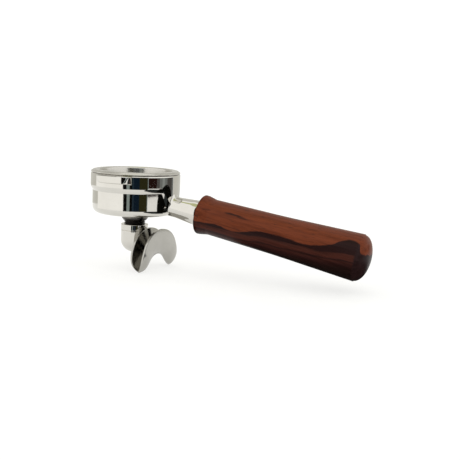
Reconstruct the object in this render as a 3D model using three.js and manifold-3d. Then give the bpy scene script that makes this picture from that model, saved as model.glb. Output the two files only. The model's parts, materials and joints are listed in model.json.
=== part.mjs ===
// A 58 mm coffee portafilter: chromed filter holder, steel basket, double spout and turned wood handle.
// Millimetres. +Z is the bore axis, upwards; +X points from the bore towards the handle.
// The origin is on the bore axis, in the top plane of the basket's rim.

import * as THREE from 'three';
import { mergeVertices } from 'three/addons/utils/BufferGeometryUtils.js';
import { ParametricGeometry } from 'three/addons/geometries/ParametricGeometry.js';
import Module from 'manifold-3d';

const wasm = await Module();
wasm.setup();

// Gap between pieces that are fixed together, and between pieces that slide or turn
const GAP = 0.3;
const SLIP = 0.1;

// Filter holder
const BAND_RADIUS = 35;
const SKIRT_RADIUS = 33.45;
const BAND_FOOT = -13.6;
const SKIRT_TOP = -15.9;
const HOLDER_TOP = -2.35;
const HOLDER_TOP_ROUND = 1.2;
const HOLDER_FLOOR = -34.1;
const HOLDER_CORNER = 5.2;
const HOLDER_BORE = 30.2;
const INNER_FLOOR = -29;
const BOSS_RADIUS = 10.4;
const BOSS_FOOT = -39.8;
const BOSS_CHAMFER = 1.8;
const OUTLET_RADIUS = 6;
const OUTLET_LEDGE = -33.5;
const GROOVE_RADIUS = 31.4;
const GROOVE_TOP = -6.9;
const GROOVE_FOOT = -8.7;

// Bayonet ears
const EAR_RADIUS = 39.6;
const EAR_TOP = -2.9;
const EAR_FOOT = -8.45;
const EAR_TOP_HALF_WIDTH = 14;
const EAR_FOOT_HALF_WIDTH = 11;

// Basket and its retaining spring
const BASKET_RIM_RADIUS = 35.1;
const BASKET_WALL_RADIUS = 29.3;
const BASKET_FOOT_RADIUS = 26.4;
const BASKET_SHEET = 0.8;
const BASKET_DEPTH = 25;
const RIM_CURL = 2.2;
const RIM_TIP = -1.5;
const RIM_CROWN = 2.3;
const SPRING_WIRE_RADIUS = 0.65;
const SPRING_RADIUS = 30.05;
const SPRING_WAVE = 0.6;
const SPRING_WAVES = 3;
const SPRING_OPENING = 0.4;

// Handle: s is the distance along its axis from the start of the neck
const NECK_START = [BAND_RADIUS, 0, -26.75];
const HANDLE_DROOP = 9.5 * Math.PI / 180;
const NECK_ROOT_RADIUS = 8.1;
const NECK_FLARE = 2;
const NECK_END_RADIUS = 9.57;
const NECK_CONE_START = 3;
const NECK_CONE_END = 17.3;
const NECK_END = 24.6;
const TENON_RADIUS = 5.5;
const TENON_DEPTH = 2.6;
const STUD_RADIUS = 5.9;
const STUD_START = 8.4;
const STUD_END = 56;
const INSERT_RADIUS = 8.5;
const INSERT_END = 58;
const WASHER_THICKNESS = 1.6;
const WOOD_START = 22.5;
const WOOD_SEAT = NECK_END + WASHER_THICKNESS + 2 * GAP;
const BEAD_RADIUS = 15.15;
const BEAD_END = 25.3;
const WAIST_AT = 32;
const WAIST_RADIUS = 13.75;
const SWELL_AT = 90;
const SWELL_RADIUS = 14.96;
const BUTT_AT = 148.6;
const BUTT_RADIUS = 17.52;
const DOME_HEIGHT = 8.5;

// Outlet nipple, G3/8 pipe thread
const THREAD_RADIUS = 8.33;
const THREAD_DEPTH = 0.86;
const THREAD_PITCH = 1.337;
const THREAD_TOP = -39.6;
const NIPPLE_FOOT = -46.8;

// Spout
const COLLAR_RADIUS = 10.75;
const COLLAR_TOP = -42.9;
const COLLAR_FOOT = -47.7;
const CUP_RADIUS = 10.65;
const CUP_BORE = 7;
const CUP_LEDGE = -47.9;
const BOWL_TOP = -55.7;
const BOWL_DEPTH = 9.9;
const BOWL_WALL = 2.3;
const GASKET_THICKNESS = 0.85;
const SPOUT_TURN = -5.84 * Math.PI / 180;
const CHUTE_AT = 19.2;
const CHUTE_HALF_WIDTH = 6.4;
const CHUTE_LEAN = 0.32;
const CHUTE_WALL = 1.7;
const CHUTE_STEPS = 28;
const CHUTE_RING = 10;
const WINDOW_HALF_WIDTH = 3.6;
const WINDOW_TOP = -51.5;
const WINDOW_FOOT = -60;
const STUB_WALL = 1.6;

const ROUND_STEPS = 48;
const HANDLE_STEPS = 32;
const SMALL_STEPS = 24;
const FILLET_STEPS = 2;

const chrome = { color: 0xd9d8d4, roughness: 0.12, metalness: 1 };
const steel = { color: 0xb9bab8, roughness: 0.25, metalness: 1 };
const blackSteel = { color: 0x1f1d1b, roughness: 0.35, metalness: 1 };
const brass = { color: 0xb8923a, roughness: 0.35, metalness: 1 };
const rubber = { color: 0x1c1b1a, roughness: 0.8, metalness: 0 };
const fibre = { color: 0x7a2f22, roughness: 0.9, metalness: 0 };
const wood = { color: 0x5e2a1a, roughness: 0.35, metalness: 0 };

// Corners are [x, y, radius]: a corner with a radius becomes an arc.
function outline(corners) {
  const points = [];
  corners.forEach(([x, y, radius = 0], i) => {
    const corner = new THREE.Vector2(x, y);
    if (!radius) {
      points.push(corner);
      return;
    }
    const previous = corners.at(i - 1);
    const next = corners[(i + 1) % corners.length];
    const back = new THREE.Vector2(previous[0], previous[1]).sub(corner).normalize();
    const ahead = new THREE.Vector2(next[0], next[1]).sub(corner).normalize();
    const half = Math.acos(back.dot(ahead)) / 2;
    const centre = back.clone().add(ahead).normalize().multiplyScalar(radius / Math.sin(half)).add(corner);
    const start = back.clone().multiplyScalar(radius / Math.tan(half)).add(corner);
    const turn = Math.sign(ahead.cross(back)) * (Math.PI - 2 * half);
    for (let k = 0; k <= FILLET_STEPS; k++) {
      points.push(start.clone().rotateAround(centre, turn * k / FILLET_STEPS));
    }
  });
  return points;
}

// Quarter of an ellipse from its rim at (radius, top) down to the axis, listed from the axis outwards.
function bowl(radius, top, depth) {
  const steps = 6;
  return Array.from({ length: steps + 1 }, (_, k) => {
    const angle = Math.PI / 2 * k / steps;
    return [radius * Math.sin(angle), top - depth * Math.cos(angle)];
  });
}

// Turned piece about Z. The corners run anticlockwise: outwards along the foot, up outside, back inside.
function turned(corners, steps = ROUND_STEPS) {
  const points = outline(corners);
  if (corners[0][0] > 0) points.push(points[0].clone());
  return new THREE.LatheGeometry(points, steps).rotateX(Math.PI / 2);
}

function tube(innerRadius, outerRadius, foot, top, steps = ROUND_STEPS) {
  return turned([[innerRadius, foot], [outerRadius, foot], [outerRadius, top], [innerRadius, top]], steps);
}

function rod(radius, foot, top, steps = SMALL_STEPS) {
  return turned([[0, foot], [radius, foot], [radius, top], [0, top]], steps);
}

function solid(geometry) {
  const bare = geometry.clone();
  bare.deleteAttribute('normal');
  bare.deleteAttribute('uv');
  const merged = mergeVertices(bare, 1e-3);
  const triangles = [];
  for (let i = 0; i < merged.index.count; i += 3) {
    const corners = [0, 1, 2].map((k) => merged.index.getX(i + k));
    if (new Set(corners).size === 3) triangles.push(...corners);
  }
  const vertProperties = Float32Array.from(merged.getAttribute('position').array);
  const triVerts = Uint32Array.from(triangles);
  return new wasm.Manifold(new wasm.Mesh({ numProp: 3, vertProperties, triVerts }));
}

function geometryOf(manifold) {
  const mesh = manifold.getMesh();
  const geometry = new THREE.BufferGeometry();
  geometry.setAttribute('position', new THREE.BufferAttribute(mesh.vertProperties, 3));
  geometry.setIndex(new THREE.BufferAttribute(mesh.triVerts, 1));
  geometry.computeVertexNormals();
  return geometry;
}

function piece(name, geometry, look) {
  const mesh = new THREE.Mesh(geometry, new THREE.MeshStandardMaterial(look));
  mesh.name = name;
  return mesh;
}

// Anything built along s is placed by this group.
const handleAxis = new THREE.Group();
handleAxis.position.set(...NECK_START);
handleAxis.rotation.y = Math.PI / 2 + HANDLE_DROOP;
handleAxis.updateMatrix();

function alongHandle(geometry) {
  return geometry.applyMatrix4(handleAxis.matrix);
}

// Outside of the filter holder, grown by a clearance.
function holderOutside(grow) {
  return [
    [BOSS_RADIUS, HOLDER_FLOOR - grow],
    [SKIRT_RADIUS + grow, HOLDER_FLOOR - grow, HOLDER_CORNER + grow],
    [SKIRT_RADIUS + grow, SKIRT_TOP, 0.8],
    [BAND_RADIUS + grow, BAND_FOOT, 0.8],
    [BAND_RADIUS + grow, HOLDER_TOP, HOLDER_TOP_ROUND],
  ];
}

// Tongue of the band that runs down to the root of the neck.
function neckPad(grow) {
  const half = [[15.5, -12], [14, -14.5, 2], [11.6, -19], [9.6, -23.5, 3], [9.2, -28.5, 1]];
  const other = half.map(([y, z, radius]) => [-y, z, radius]).reverse();
  const tongue = new THREE.Shape(outline([...other, ...half]));
  const prism = new THREE.ExtrudeGeometry(tongue, { depth: 10, bevelEnabled: false });
  prism.rotateX(Math.PI / 2).rotateZ(Math.PI / 2).translate(HOLDER_BORE - 1, 0, 0);
  return solid(prism).intersect(solid(tube(SKIRT_RADIUS - 1, BAND_RADIUS + grow, HOLDER_FLOOR, HOLDER_TOP)));
}

function ears() {
  const wedge = new THREE.Shape(outline([
    [-EAR_FOOT_HALF_WIDTH, EAR_FOOT],
    [EAR_FOOT_HALF_WIDTH, EAR_FOOT],
    [EAR_TOP_HALF_WIDTH, EAR_TOP],
    [-EAR_TOP_HALF_WIDTH, EAR_TOP],
  ]));
  const prism = new THREE.ExtrudeGeometry(wedge, { depth: 2 * EAR_RADIUS, bevelEnabled: false });
  prism.rotateX(Math.PI / 2).translate(0, EAR_RADIUS, 0);
  return solid(prism).intersect(solid(tube(SKIRT_RADIUS - 1, EAR_RADIUS, EAR_FOOT, EAR_TOP)));
}

function filterHolder() {
  const wall = solid(turned([
    [THREAD_RADIUS + SLIP, BOSS_FOOT],
    [THREAD_RADIUS + 0.8, BOSS_FOOT],
    [BOSS_RADIUS, BOSS_FOOT + BOSS_CHAMFER],
    ...holderOutside(0),
    [HOLDER_BORE, HOLDER_TOP, 0.4],
    [HOLDER_BORE, GROOVE_TOP],
    [GROOVE_RADIUS, GROOVE_TOP],
    [GROOVE_RADIUS, GROOVE_FOOT],
    [HOLDER_BORE, GROOVE_FOOT],
    [HOLDER_BORE, INNER_FLOOR, 2.5],
    [OUTLET_RADIUS, INNER_FLOOR - 1.8],
    [OUTLET_RADIUS, OUTLET_LEDGE],
    [THREAD_RADIUS + SLIP, OUTLET_LEDGE],
  ]));
  const socket = solid(alongHandle(rod(TENON_RADIUS + GAP, -TENON_DEPTH - GAP, 6)));
  return geometryOf(wall.add(ears()).add(neckPad(0)).subtract(socket));
}

function filterBasket() {
  const wallTop = -BASKET_SHEET - 0.1;
  return turned([
    [0, -BASKET_DEPTH],
    [BASKET_FOOT_RADIUS, -BASKET_DEPTH, 3.5],
    [BASKET_WALL_RADIUS, wallTop],
    [BASKET_RIM_RADIUS - 1.7, wallTop],
    [BASKET_RIM_RADIUS - 1.7, -RIM_CURL],
    [BASKET_RIM_RADIUS - 0.6, -RIM_CURL],
    [BASKET_RIM_RADIUS, RIM_TIP],
    [BASKET_RIM_RADIUS - RIM_CROWN, 0, 3],
    [BASKET_WALL_RADIUS - BASKET_SHEET, 0, 1.4],
    [BASKET_FOOT_RADIUS - BASKET_SHEET, BASKET_SHEET - BASKET_DEPTH, 2.8],
    [0, BASKET_SHEET - BASKET_DEPTH],
  ]);
}

// Open wire ring whose waves press on the basket between its seats in the groove.
function basketSpring() {
  const stations = 25;
  const height = (GROOVE_TOP + GROOVE_FOOT) / 2;
  const path = Array.from({ length: stations }, (_, k) => {
    const angle = SPRING_OPENING / 2 + (2 * Math.PI - SPRING_OPENING) * k / (stations - 1);
    const radius = SPRING_RADIUS + SPRING_WAVE * Math.cos(SPRING_WAVES * angle);
    return new THREE.Vector3(radius * Math.cos(angle), radius * Math.sin(angle), height);
  });
  const wire = new THREE.Shape().absarc(0, 0, SPRING_WIRE_RADIUS, 0, 2 * Math.PI);
  return new THREE.ExtrudeGeometry(wire, {
    steps: 36,
    curveSegments: 3,
    bevelEnabled: false,
    extrudePath: new THREE.CatmullRomCurve3(path),
  });
}

// Neck with a tenon in the holder's socket, a flared root and a tapped end for the stud.
function handleNeck() {
  const cone = solid(alongHandle(turned([
    [0, -6],
    [NECK_ROOT_RADIUS + NECK_FLARE, -6],
    [NECK_ROOT_RADIUS + NECK_FLARE / 2, 0.4, 3],
    [NECK_ROOT_RADIUS, NECK_CONE_START + 0.5, 3],
    [NECK_END_RADIUS, NECK_CONE_END],
    [NECK_END_RADIUS, NECK_END, 0.6],
    [STUD_RADIUS + GAP, NECK_END],
    [STUD_RADIUS + GAP, STUD_START - 2 * GAP],
    [0, STUD_START - 2 * GAP],
  ], SMALL_STEPS)));
  const holder = solid(turned([[0, HOLDER_FLOOR - GAP], ...holderOutside(GAP), [0, HOLDER_TOP]]));
  const below = solid(new THREE.BoxGeometry(20, 40, 10).translate(BAND_RADIUS - 10, 0, HOLDER_FLOOR - 5));
  const tenon = solid(alongHandle(rod(TENON_RADIUS, -TENON_DEPTH, 4)));
  return geometryOf(cone.subtract(holder).subtract(neckPad(GAP)).subtract(below).add(tenon));
}

function handleStud() {
  return turned([
    [0, STUD_START],
    [STUD_RADIUS - 1, STUD_START],
    [STUD_RADIUS, STUD_START + 1],
    [STUD_RADIUS, STUD_END - 1],
    [STUD_RADIUS - 1, STUD_END],
    [0, STUD_END],
  ], SMALL_STEPS);
}

function handleInsert() {
  const start = WOOD_SEAT + GAP;
  const corners = [[STUD_RADIUS + GAP, start], [INSERT_RADIUS, start]];
  const bands = 3;
  const pitch = (INSERT_END - start) / bands;
  for (let k = 1; k < bands; k++) {
    const middle = start + k * pitch;
    corners.push([INSERT_RADIUS, middle - 1], [INSERT_RADIUS - 0.8, middle - 1]);
    corners.push([INSERT_RADIUS - 0.8, middle + 1], [INSERT_RADIUS, middle + 1]);
  }
  corners.push([INSERT_RADIUS, INSERT_END], [STUD_RADIUS + GAP, INSERT_END]);
  return turned(corners, SMALL_STEPS);
}

function woodHandle() {
  const dome = bowl(BUTT_RADIUS - 0.5, 0, DOME_HEIGHT).reverse().map(([r, z]) => [r, BUTT_AT - z]);
  return turned([
    [0, INSERT_END + 2 * GAP],
    [INSERT_RADIUS + GAP, INSERT_END + 2 * GAP],
    [INSERT_RADIUS + GAP, WOOD_SEAT],
    [NECK_END_RADIUS + GAP, WOOD_SEAT],
    [NECK_END_RADIUS + GAP, WOOD_START],
    [BEAD_RADIUS, WOOD_START, 1.3],
    [BEAD_RADIUS, BEAD_END, 3],
    [WAIST_RADIUS, WAIST_AT, 8],
    [SWELL_RADIUS, SWELL_AT],
    [BUTT_RADIUS, BUTT_AT, 0.6],
    ...dome,
  ], HANDLE_STEPS);
}

// The thread is a helical wave on the wall of the tube below the boss.
function outletNipple() {
  const crests = Math.ceil((THREAD_TOP - NIPPLE_FOOT) / THREAD_PITCH * 4);
  const corners = [[OUTLET_RADIUS, NIPPLE_FOOT]];
  for (let k = 0; k <= crests; k++) {
    corners.push([THREAD_RADIUS, NIPPLE_FOOT + (THREAD_TOP - NIPPLE_FOOT) * k / crests]);
  }
  corners.push([THREAD_RADIUS, OUTLET_LEDGE - SLIP], [OUTLET_RADIUS, OUTLET_LEDGE - SLIP]);
  const geometry = turned(corners, SMALL_STEPS);
  const position = geometry.getAttribute('position');
  for (let i = 0; i < position.count; i++) {
    const [x, y, z] = [position.getX(i), position.getY(i), position.getZ(i)];
    const radius = Math.hypot(x, y);
    if (radius < THREAD_RADIUS - SLIP || z > THREAD_TOP - SLIP || z < NIPPLE_FOOT + SLIP) continue;
    const turns = Math.atan2(y, x) / (2 * Math.PI) - z / THREAD_PITCH;
    const wave = 2 * Math.abs(turns - Math.round(turns));
    const factor = (THREAD_RADIUS - THREAD_DEPTH * wave) / radius;
    position.setXY(i, x * factor, y * factor);
  }
  return geometryOf(solid(geometry));
}

function cupOutside(grow) {
  return [
    ...bowl(CUP_RADIUS + grow, BOWL_TOP, BOWL_DEPTH + grow),
    [CUP_RADIUS + grow, COLLAR_FOOT - 0.2],
  ];
}

function spoutWindow(grow, from, to) {
  const height = WINDOW_TOP - WINDOW_FOOT + 2 * grow;
  const box = new THREE.BoxGeometry(to - from, 2 * (WINDOW_HALF_WIDTH + grow), height);
  return solid(box.translate((from + to) / 2, 0, (WINDOW_TOP + WINDOW_FOOT) / 2));
}

function spoutCup() {
  const inside = bowl(CUP_BORE, BOWL_TOP, BOWL_DEPTH - BOWL_WALL).reverse();
  const cup = solid(turned([
    ...cupOutside(0),
    [CUP_RADIUS - 0.3, COLLAR_FOOT],
    [COLLAR_RADIUS, COLLAR_FOOT + 0.2],
    [COLLAR_RADIUS, COLLAR_TOP, 0.4],
    [THREAD_RADIUS + SLIP, COLLAR_TOP],
    [THREAD_RADIUS + SLIP, CUP_LEDGE],
    [CUP_BORE, CUP_LEDGE],
    ...inside,
  ], SMALL_STEPS));
  return geometryOf(cup.subtract(spoutWindow(0, 0, CUP_RADIUS + 1))).rotateZ(SPOUT_TURN);
}

// The chute is a gutter bent over like a saddle: both edges follow RIM and its bottom follows KEEL,
// each drawn as [y, z] from the middle to one tip.
const RIM = [
  [[0, -44.8], [10, -44.8], [17.5, -49.5], [21, -56]],
  [[21, -56], [24.5, -62.6], [27.6, -71.5], [21.5, -77]],
];
const KEEL = [
  [[0, -65], [5, -65], [9, -67], [12, -70.2]],
  [[12, -70.2], [15, -73.4], [17.8, -76.3], [21.5, -77]],
];

function pointOn(curves, t) {
  const index = Math.min(Math.floor(t * curves.length), curves.length - 1);
  const points = curves[index].map(([y, z]) => new THREE.Vector2(y, z));
  return new THREE.CubicBezierCurve(...points).getPoint(t * curves.length - index);
}

// Solid between the two edges and the bottom, drawn in by inset and raised past the edges by lift.
// The bottom leans outwards, by CHUTE_LEAN of the half width.
function gutter(inset, lift, reach) {
  return solid(new ParametricGeometry((u, w, target) => {
    const along = Math.abs(2 * u - 1) * reach;
    const side = Math.sign(2 * u - 1) || 1;
    const rim = pointOn(RIM, along);
    const keel = pointOn(KEEL, along);
    const drawnIn = inset && Math.min(inset / rim.distanceTo(keel), 1);
    keel.lerp(rim, drawnIn);
    const width = CHUTE_HALF_WIDTH * (1 - along ** 8) ** 1.25;
    const station = Math.round(w * (CHUTE_RING + 2)) % (CHUTE_RING + 2);
    const past = station > CHUTE_RING - 1;
    const turn = past ? (CHUTE_RING + 0.5 - station) * Math.PI : Math.PI * (station / (CHUTE_RING - 1) - 0.5);
    const climb = past ? 1 + lift : 1 - Math.cos(turn);
    const closed = u === 0 || u === 1;
    const spread = closed ? 0 : Math.sin(turn) * (1 - inset / CHUTE_HALF_WIDTH);
    const lean = CHUTE_LEAN * (1 - drawnIn) * (1 - climb);
    const place = keel.lerp(rim, climb);
    target.set(CHUTE_AT + width * (spread + lean), side * place.x, place.y);
  }, CHUTE_STEPS, CHUTE_RING + 2));
}

function spoutChute() {
  const cupSpace = solid(turned([...cupOutside(SLIP), [0, COLLAR_FOOT - 0.2]], SMALL_STEPS));
  const stub = spoutWindow(STUB_WALL, CUP_BORE, CHUTE_AT);
  const chute = gutter(0, 0, 1).add(stub).subtract(gutter(CHUTE_WALL, 0.15, 0.97));
  const passage = spoutWindow(0, CUP_BORE, CHUTE_AT);
  return geometryOf(chute.subtract(cupSpace).subtract(passage)).rotateZ(SPOUT_TURN);
}

const portafilter = new THREE.Group();
portafilter.add(
  piece('filter_holder', filterHolder(), chrome),
  piece('filter_basket', filterBasket(), steel),
  piece('basket_spring', basketSpring(), steel),
  piece('handle_neck', handleNeck(), chrome),
  piece('outlet_nipple', outletNipple(), blackSteel),
  piece('spout_gasket', tube(OUTLET_RADIUS + 0.2, THREAD_RADIUS - SLIP, CUP_LEDGE + SLIP,
    CUP_LEDGE + SLIP + GASKET_THICKNESS, SMALL_STEPS), fibre),
  piece('spout_cup', spoutCup(), chrome),
  piece('spout_chute', spoutChute(), chrome),
  handleAxis,
);
handleAxis.add(
  piece('neck_washer', tube(STUD_RADIUS + GAP, NECK_END_RADIUS - GAP, NECK_END + GAP,
    NECK_END + GAP + WASHER_THICKNESS, SMALL_STEPS), rubber),
  piece('handle_stud', handleStud(), steel),
  piece('handle_insert', handleInsert(), brass),
  piece('wood_handle', woodHandle(), wood),
);

export default portafilter;
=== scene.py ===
"""Looks of a 58 mm coffee portafilter: chromed holder, steel basket, double spout, turned wood handle."""
import json
import math

import bmesh
import bpy
import numpy as np
from mathutils import Matrix, Vector
from mathutils.bvhtree import BVHTree
from mathutils.geometry import delaunay_2d_cdt


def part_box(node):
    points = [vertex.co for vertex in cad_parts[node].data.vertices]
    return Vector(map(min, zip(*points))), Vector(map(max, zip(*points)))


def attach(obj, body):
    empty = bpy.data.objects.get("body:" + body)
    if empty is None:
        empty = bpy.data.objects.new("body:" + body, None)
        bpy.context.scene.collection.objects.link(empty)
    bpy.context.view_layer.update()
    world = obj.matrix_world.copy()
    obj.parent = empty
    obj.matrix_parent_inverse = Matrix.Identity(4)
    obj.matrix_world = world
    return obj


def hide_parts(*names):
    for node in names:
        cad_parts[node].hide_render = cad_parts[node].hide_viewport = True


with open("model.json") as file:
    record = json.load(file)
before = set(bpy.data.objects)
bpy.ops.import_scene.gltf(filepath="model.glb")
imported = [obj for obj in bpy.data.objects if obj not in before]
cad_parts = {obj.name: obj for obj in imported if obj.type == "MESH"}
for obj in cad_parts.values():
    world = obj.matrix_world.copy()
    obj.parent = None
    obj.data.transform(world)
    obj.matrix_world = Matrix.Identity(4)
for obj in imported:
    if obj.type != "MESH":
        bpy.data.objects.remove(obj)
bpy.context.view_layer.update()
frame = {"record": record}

# Sizes are millimetres in the CAD frame: +Z is the bore axis, +X points to the handle,
# and the origin is on the bore axis in the top plane of the basket's rim.
MM = 0.001

# Filter holder
BAND_RADIUS = 35
SKIRT_RADIUS = 33.45
BAND_FOOT = -13.6
BAND_CHAMFER = 2.3
BAND_ROUND = 7
HOLDER_TOP = -2.35
HOLDER_TOP_ROUND = 1.2
HOLDER_FLOOR = -34.1
HOLDER_CORNER = 5.2
HOLDER_BORE = 30.2
INNER_FLOOR = -29
BOSS_RADIUS = 10.4
BOSS_FOOT = -39.8
BOSS_CHAMFER = 1.8
OUTLET_RADIUS = 6
OUTLET_LEDGE = -33.5
GROOVE_RADIUS = 31.4
GROOVE_TOP = -6.9
GROOVE_FOOT = -8.7
HOLDER_STATIONS = 720

# Tongue of the band under the neck, and the two bayonet ears: angles in degrees round the bore
TONGUE_HALF_ANGLE = 23.3
TONGUE_SLOPE = 1.03
TONGUE_END = -25.2
TONGUE_EDGE_HALF_ANGLE = 24.9
TONGUE_EDGE_SLOPE = 1.4
TONGUE_EDGE_END = -28.8
EAR_RADIUS = 39.6
EAR_TOP = -2.9
EAR_FOOT = -8.45
EAR_EDGE = 0.6
EAR_TOP_HALF_ANGLE = 20.4
EAR_FOOT_HALF_ANGLE = 12.3
EAR_END = 23.3

# Basket and its retaining spring
BASKET_RIM_RADIUS = 35.1
BASKET_WALL_RADIUS = 29.3
BASKET_FOOT_RADIUS = 26.4
BASKET_SHEET = 0.8
BASKET_DEPTH = 25
RIM_CURL = 2.2
RIM_TIP = -1.5
RIM_CROWN = 2.3
SIEVE_RADIUS = 22.6
SIEVE_PITCH = 1.8
SIEVE_HOLE = 0.3
SPRING_WIRE_RADIUS = 0.65
SPRING_RADIUS = 30.05
SPRING_WAVE = 0.6
SPRING_WAVES = 3
SPRING_OPENING = 0.4

# Handle: s is the distance along its axis from the start of the neck
NECK_START = (BAND_RADIUS, 0, -26.75)
HANDLE_DROOP = math.radians(9.5)
NECK_ROOT_RADIUS = 8.1
NECK_END_RADIUS = 9.57
NECK_CONE_START = 3
NECK_CONE_END = 17.3
NECK_END = 24.6
NECK_FILLET = 2.6
STUD_RADIUS = 5.9
STUD_START = 8.4
STUD_END = 56
STUD_PITCH = 1.75
INSERT_RADIUS = 8.5
INSERT_END = 58
WASHER_THICKNESS = 1.6
WOOD_START = 22.5
BEAD_RADIUS = 15.15
BEAD_END = 25.3
WAIST_AT = 32
WAIST_RADIUS = 13.75
SWELL_AT = 90
SWELL_RADIUS = 14.96
BUTT_AT = 148.6
BUTT_RADIUS = 17.52
DOME_HEIGHT = 8.5

# Outlet nipple and spout
THREAD_RADIUS = 8.33
THREAD_DEPTH = 0.86
THREAD_PITCH = 1.337
THREAD_TOP = -39.6
NIPPLE_FOOT = -46.8
COLLAR_RADIUS = 10.75
COLLAR_TOP = -42.9
COLLAR_FOOT = -47.7
CUP_RADIUS = 10.65
CUP_BORE = 7
CUP_LEDGE = -47.9
BOWL_TOP = -55.7
BOWL_DEPTH = 9.9
BOWL_WALL = 2.3
GASKET_THICKNESS = 0.85
SPOUT_TURN = math.radians(-5.84)
CHUTE_AT = 19.2
CHUTE_HALF_WIDTH = 6.4
CHUTE_LEAN = 0.32
CHUTE_WALL = 1.7
WINDOW_HALF_WIDTH = 3.6
WINDOW_TOP = -51.5
WINDOW_FOOT = -60
WINDOW_CORNER = 1.4
STUB_WALL = 1.6

# Clearance round the stud, the neck washer and the insert, and at the outlet's thread and gasket
GAP = 0.3
SLIP = 0.1

# The chute is a gutter bent over like a saddle: both edges follow RIM and its bottom follows KEEL,
# each drawn as (y, z) from the middle to one tip.
RIM = [
    [(0, -44.8), (10, -44.8), (17.5, -49.5), (21, -56)],
    [(21, -56), (24.5, -62.6), (27.6, -71.5), (21.5, -77)],
]
KEEL = [
    [(0, -65), (5, -65), (9, -67), (12, -70.2)],
    [(12, -70.2), (15, -73.4), (17.8, -76.3), (21.5, -77)],
]

HANDLE_PLACE = (
    Matrix.Translation(Vector(NECK_START) * MM)
    @ Matrix.Rotation(math.pi / 2 + HANDLE_DROOP, 4, "Y")
)


# ---------------------------------------------------------------- meshes

def outline(corners, steps=8):
    """Points through corners (x, y) or (x, y, radius), where a radius turns the corner into an arc."""
    points = []
    for i, (x, y, *radius) in enumerate(corners):
        corner = Vector((x, y))
        if not radius:
            points.append(corner)
            continue
        before = Vector(corners[i - 1][:2])
        after = Vector(corners[(i + 1) % len(corners)][:2])
        back = (before - corner).normalized()
        ahead = (after - corner).normalized()
        half = back.angle(ahead) / 2
        centre = corner + (back + ahead).normalized() * radius[0] / math.sin(half)
        arm = corner + back * radius[0] / math.tan(half) - centre
        turn = math.copysign(math.pi - 2 * half, ahead.cross(back))
        for k in range(steps + 1):
            points.append(centre + Matrix.Rotation(turn * k / steps, 2) @ arm)
    return [tuple(point) for point in points]


def bowl(radius, top, depth, steps=20):
    """Quarter of an ellipse from its rim at (radius, top) down to the axis, listed from the axis."""
    angles = np.linspace(0, math.pi / 2, steps + 1)
    return [(radius * math.sin(a), top - depth * math.cos(a)) for a in angles]


def smooth(obj, sharp=32):
    """Smooth shading that keeps true edges, with flats that stay flat in the reflections."""
    obj.data.shade_smooth()
    obj.data.set_sharp_from_angle(angle=math.radians(sharp))
    normals = obj.modifiers.new("flat faces lead", "WEIGHTED_NORMAL")
    normals.keep_sharp = True
    return obj


def linked(name, mesh):
    obj = bpy.data.objects.new(name, mesh)
    bpy.context.scene.collection.objects.link(obj)
    return obj


def skin(name, rings, closed_along=False):
    """Closed surface over rings with equally many points; a ring may shrink to a point."""
    rings = np.asarray(rings, float) * MM
    count, length = rings.shape[:2]
    faces = []
    for i in range(count if closed_along else count - 1):
        here = i * length
        there = (i + 1) % count * length
        for j in range(length):
            k = (j + 1) % length
            faces.append((here + j, here + k, there + k, there + j))
    mesh = bpy.data.meshes.new(name)
    mesh.from_pydata(rings.reshape(-1, 3).tolist(), [], faces)
    weld(mesh)
    return linked(name, mesh)


def weld(mesh):
    """Merges points that coincide and turns every face outwards."""
    work = bmesh.new()
    work.from_mesh(mesh)
    bmesh.ops.remove_doubles(work, verts=work.verts, dist=1e-6)
    bmesh.ops.dissolve_degenerate(work, edges=work.edges, dist=1e-7)
    bmesh.ops.recalc_face_normals(work, faces=work.faces)
    work.to_mesh(mesh)
    work.free()


def circle(radius, height, steps):
    angles = np.linspace(0, 2 * math.pi, steps, endpoint=False)
    return [(radius * math.cos(a), radius * math.sin(a), height) for a in angles]


def turned(name, points, steps=192):
    """Turned piece about Z from a half section; one that doesn't start on the axis closes on itself."""
    return skin(name, [circle(r, z, steps) for r, z in points], closed_along=points[0][0] > 0)


def combine(body, tool, operation):
    """Boolean of two pieces that leaves one mesh; the tool is used up."""
    boolean = body.modifiers.new("combine", "BOOLEAN")
    boolean.operation = operation
    boolean.object = tool
    boolean.solver = "EXACT"
    evaluated = body.evaluated_get(bpy.context.evaluated_depsgraph_get())
    mesh = bpy.data.meshes.new_from_object(evaluated)
    body.modifiers.clear()
    body.data = mesh
    bpy.data.objects.remove(tool)
    weld(mesh)
    return body


def rounded_box_ring(half_width, half_height, corner, steps=6):
    """Rounded rectangle about the origin, as (y, z) points."""
    return outline([
        (-half_width, -half_height, corner),
        (half_width, -half_height, corner),
        (half_width, half_height, corner),
        (-half_width, half_height, corner),
    ], steps)


# ---------------------------------------------------------------- pieces

def hinge(x, ease):
    """0 below x = 0 and x above it, with a soft corner."""
    return (x + math.sqrt(x * x + ease * ease)) / 2


def ear_section(offset, levels=16):
    """Outside of the band from under an ear up to the rim, at an angle from the ear's middle.
    Past the ear's end the same points lie on the plain band, below its rounded top."""
    top = EAR_TOP if offset < EAR_END else HOLDER_TOP - HOLDER_TOP_ROUND
    section = [(BAND_RADIUS, EAR_FOOT - EAR_EDGE)]
    for z in np.linspace(EAR_FOOT, top, levels):
        climb = (z - EAR_FOOT) / (EAR_TOP - EAR_FOOT)
        shoulder = EAR_FOOT_HALF_ANGLE + (EAR_TOP_HALF_ANGLE - EAR_FOOT_HALF_ANGLE) * climb
        share = min(1, max(0, (EAR_END - offset) / (EAR_END - shoulder)))
        to_edge = min(z - EAR_FOOT, EAR_TOP - z, EAR_EDGE)
        rounding = EAR_EDGE - math.sqrt(EAR_EDGE ** 2 - (EAR_EDGE - to_edge) ** 2)
        reach = (EAR_RADIUS - BAND_RADIUS) * math.sqrt(1 - (1 - share) ** 2)
        section.append((BAND_RADIUS + max(0, reach - rounding), z))
    return section


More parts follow.
